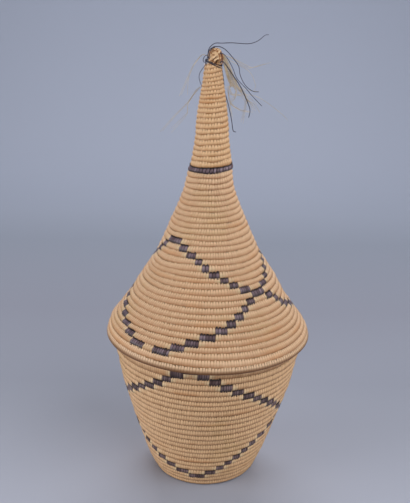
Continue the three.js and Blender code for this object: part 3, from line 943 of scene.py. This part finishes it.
def knob_loop(depth, size):
    """A fold of the knob: up from the spire, over and down again."""
    half = math.sqrt(1 - (depth / KNOB_DEPTH) ** 2)
    shake = random.normal(0, KNOB_SHAKE, 5)
    left = KNOB_MIDDLE - KNOB_LEFT * half
    right = KNOB_MIDDLE + KNOB_RIGHT * half
    high = KNOB_HEIGHT * math.sqrt(half)
    return strand(raised([
        (left * 0.8 - 0.4, depth, -1), (left + shake[0] * 0.5, depth, high * 0.45),
        (left * 0.55 + shake[1], depth, high * 0.9), (KNOB_MIDDLE + 0.5 + shake[2], depth, high),
        (right * 0.85 + shake[3] * 0.5, depth, high * 0.8), (right, depth, high * 0.4),
        (right * 0.7, depth, -1),
    ]), size, 30, 0.9)


threads = [strand(raised(route), size, 44, 0.7) for size, route in THREAD_ROUTES]
for turn, tilt in enumerate(BINDING_TILTS):
    loop = []
    for degrees in range(0, 361, 20):
        x, y, _ = around(BINDING_RADIUS + BINDING_OUT * (turn % 2), degrees, 0)
        height = TIP_HEIGHT - BINDING_DROP + BINDING_STEP * turn - tilt * (x + 1)
        loop.append((x + BINDING_ASIDE, y, height))
    threads.append(strand(loop, BINDING_THREAD, 54, 1.0))
settle(join_strands("tip_thread", threads, loose_thread), "lid", "tip_binding_thread")

folds = [
    knob_loop(depth, random.uniform(*KNOB_LOOP_RADII))
    for depth in np.linspace(-KNOB_LOOP_DEPTH, KNOB_LOOP_DEPTH, KNOB_LOOPS)
]
folds += [
    strand(raised(points), size, 20, 0.8) for size, points in (
        (0.95, [(-2.6, -4.6, 2), (0.4, -5.1, 4.4), (3.2, -4.6, 7), (4.4, -3.4, 8.6)]),
        (0.9, [(-1.8, -4.7, 5.4), (0.8, -5, 6.6), (2.6, -4.6, 5), (3.8, -4.4, 1.4)]),
        (0.85, [(0.2, -4.9, 0.4), (1.6, -5.2, 2.8), (4, -4.6, 3.8), (5.2, -3.2, 3)]),
        (0.8, [(-0.6, -3.6, 9.2), (1.6, -4, 8.4), (3.4, -3.8, 9), (4.4, -2.6, 8)]),
        (1.6, [(0.4, 0, -1), (1.2, 0, 4), (1.6, 0, 7.6)]),
        (1.6, [(2.6, 1.4, -1), (2.4, 1.4, 4), (2.2, 1, 7.4)]),
        (1.6, [(-1, 1.2, -1), (0, 1.2, 4), (0.8, 1, 7)]),
    )
]
settle(join_strands("tip_knob", folds, knob_fibre), "lid", "tip_fibre_tuft")
brown = [
    strand(raised(points), size, 20, 0.6) for size, points in (
        (0.55, [(3.4, -3.6, 9), (4.9, -4, 7.4), (5.4, -4.2, 4.6), (4.9, -4.3, 1.2)]),
        (0.5, [(2.2, -4.4, 8.4), (3.4, -5, 6.6), (4, -5.1, 4.4), (3.4, -4.8, 0.6)]),
        (0.4, [(-2.2, -4.9, 7.6), (-0.6, -5.3, 6.2), (0.9, -5.5, 5.2), (1.9, -5.4, 3.4)]),
        (0.4, [(-3, -4.6, 3.4), (-1.2, -5.4, 2.6), (0.8, -5.7, 1.2), (3, -5.2, -0.4)]),
        (0.5, [(5.4, -2.6, 6.4), (6.2, -2.2, 4), (6, -2, 1.2), (5.6, -1.6, -1)]),
        (0.35, [(-0.6, -4.6, 9.4), (0.8, -4.8, 8.4), (1.9, -4.8, 8.8), (2.8, -4.2, 9.8)]),
    )
]
settle(join_strands("tip_brown_folds", brown, brown_fibre), "lid", "tip_fibre_tuft")

fibres = []
for k in range(FAN_COUNT):
    place = (k + random.uniform(0, 1)) / FAN_COUNT * 2
    first = min(int(place), 1)
    share = place - first
    low, high = np.array(FAN_ROUTES[first]), np.array(FAN_ROUTES[first + 1])
    route = low + (high - low) * share
    route[-1] += (route[-1] - route[-2]) * random.uniform(*FAN_LENGTHEN)
    fibres.append(strand(raised([(2, 0, 5), *route], FAN_SPREAD), random.uniform(*FAN_RADII), 24, 0.5))
for count, size, route in FIBRE_ROUTES:
    for copy in range(count):
        fibres.append(strand(raised(route, 0.0 if copy == 0 else FIBRE_SPREAD), size, 30, 0.5))
settle(join_strands("tip_fibres", fibres, loose_fibre), "lid", "tip_fibre_tuft")

# A dark thread carried along the groove under the rim, from one dark step to the next, which also stands
# in for the painted shade under the rim
CARRIED_FROM = -14.2  # degrees
CARRIED_TO = -5.2
CARRIED_PROUD = 0.9
CARRIED_ASIDE = 0.8
CARRIED_DROP = 1.5
CARRIED_SIZE = 0.55
thread_and_rim_shade_points = []
for degrees in np.linspace(CARRIED_FROM, CARRIED_TO, 7):
    radius, height, _, _ = wall_coil.place(-degrees / 360)
    x, y, _ = around(float(radius) + CARRIED_PROUD, degrees, 0)
    thread_and_rim_shade_points.append((x + CARRIED_ASIDE, y, float(height) - CARRIED_DROP))
thread_and_rim_shade = strand(thread_and_rim_shade_points, CARRIED_SIZE, 18, 1.0)
settle(join_strands("basket_thread_and_rim_shade", [thread_and_rim_shade], shaded_wall_dark_fibre),
       "basket", "basket_dark_stitches")


# Floor and backdrop: one sheet that rises behind the basket
FLOOR_FRONT = -900
FLOOR_BACK = 760
SWEEP_RADIUS = 500
SWEEP_STEPS = 12
SHEET_TOP = 1800
SHEET_HALF_WIDTH = 2200
# Its colours from front to back, by the share of the way, and where the way starts and ends, in metres
SHEET_WAY = (-0.12, 1.0)
# Over the sheet's grey-blue tone these colours are painted light, lighter at the front, and painted shade,
# darker on the floor behind the basket
SHEET_STOPS = [
    (0.0, (178, 182, 197)), (0.12, (157, 161, 176)), (0.3, (148, 151, 166)),
    (0.62, (141, 147, 162)), (0.8, (148, 154, 170)), (1.0, (152, 158, 175)),
]


def backdrop():
    profile = [(FLOOR_FRONT, 0), (FLOOR_BACK, 0)]
    for k in range(1, SWEEP_STEPS + 1):
        turn = math.radians(90 * k / SWEEP_STEPS)
        out, up = SWEEP_RADIUS * math.sin(turn), SWEEP_RADIUS * (1 - math.cos(turn))
        profile.append((FLOOR_BACK + out, up))
    profile.append((FLOOR_BACK + SWEEP_RADIUS, SHEET_TOP))
    verts = [(x, y, z) for y, z in profile for x in (-SHEET_HALF_WIDTH, SHEET_HALF_WIDTH)]
    faces = [(2 * i, 2 * i + 1, 2 * i + 3, 2 * i + 2) for i in range(len(profile) - 1)]
    mesh = bpy.data.meshes.new("backdrop")
    mesh.from_pydata((np.array(verts, float) * MM).tolist(), [], faces)
    mesh.shade_smooth()
    n = Nodes("backdrop")
    split = n.tree.nodes.new("ShaderNodeSeparateXYZ")
    n.put(split.inputs[0], n.position())
    ramp = n.tree.nodes.new("ShaderNodeValToRGB")
    while len(ramp.color_ramp.elements) < len(SHEET_STOPS):
        ramp.color_ramp.elements.new(0.5)
    for element, (place, colour) in zip(ramp.color_ramp.elements, SHEET_STOPS):
        element.position = place
        element.color = linear(*colour)
    n.put(ramp.inputs[0], n.span(split.outputs[1], *SHEET_WAY))
    n.shader.inputs["Specular IOR Level"].default_value = 0.1
    n.put(n.shader.inputs["Base Color"], ramp.outputs[0])
    n.shader.inputs["Roughness"].default_value = 0.9
    mesh.materials.append(n.material)
    add_object("backdrop", mesh)


backdrop()

# Camera: the photograph's view, 410 by 503 pixels, seen from 18.6 degrees above
IMAGE_HEIGHT = 503
FOCAL_PIXELS = 816
TARGET = Vector((-2.68, 0, 164.35)) * MM
DISTANCE = 566.9 * MM
ELEVATION = 0.3240536  # radians
ROLL = math.radians(1.17)
SENSOR_HEIGHT = 24


def add_camera():
    data = bpy.data.cameras.new("camera")
    data.sensor_fit = "VERTICAL"
    data.sensor_height = SENSOR_HEIGHT
    data.lens = FOCAL_PIXELS * SENSOR_HEIGHT / IMAGE_HEIGHT
    camera = add_object("camera", data)
    back = Vector((0, -math.cos(ELEVATION), math.sin(ELEVATION)))
    level = Vector((1, 0, 0))
    rise = Vector((0, math.sin(ELEVATION), math.cos(ELEVATION)))
    right = level * math.cos(ROLL) + rise * math.sin(ROLL)
    up = rise * math.cos(ROLL) - level * math.sin(ROLL)
    turn = Matrix((right, up, back)).transposed().to_4x4()
    camera.matrix_world = Matrix.Translation(TARGET + back * DISTANCE) @ turn
    bpy.context.scene.camera = camera


add_camera()


# Lights, in metres and watts: soft boxes at both sides, in front and behind, and a pale world
WORLD_STRENGTH = 0.14


def area_light(name, place, aim, size, power):
    data = bpy.data.lights.new(name, "AREA")
    data.shape = "RECTANGLE"
    data.size, data.size_y = size
    data.energy = power
    light = add_object(name, data)
    light.location = place
    light.rotation_euler = (Vector(aim) - Vector(place)).to_track_quat("-Z", "Y").to_euler()


area_light("left_softbox", place=(-1.2, -0.35, 0.3), aim=(0, 0, 0.1), size=(0.8, 0.5), power=9.9)
area_light("right_softbox", place=(0.9, -0.7, 0.92), aim=(0, 0, 0.15), size=(1.5, 1.5), power=12.4)
area_light("low_right_softbox", place=(1.2, -0.3, 0.25), aim=(0, 0, 0.12), size=(0.8, 0.5), power=2.0)
area_light("front_softbox", place=(0.2, -1.5, 0.35), aim=(0, 0, 0.15), size=(0.8, 0.8), power=2.8)
area_light("back_softbox", place=(0, 1.1, 0.9), aim=(0, 0, 0.1), size=(1.2, 0.8), power=12.5)

world = bpy.data.worlds.new("world")
bpy.context.scene.world = world
world.use_nodes = True
background = world.node_tree.nodes["Background"]
background.inputs["Color"].default_value = (1, 1, 1, 1)
background.inputs["Strength"].default_value = WORLD_STRENGTH
bpy.context.scene.view_settings.view_transform = "Standard"
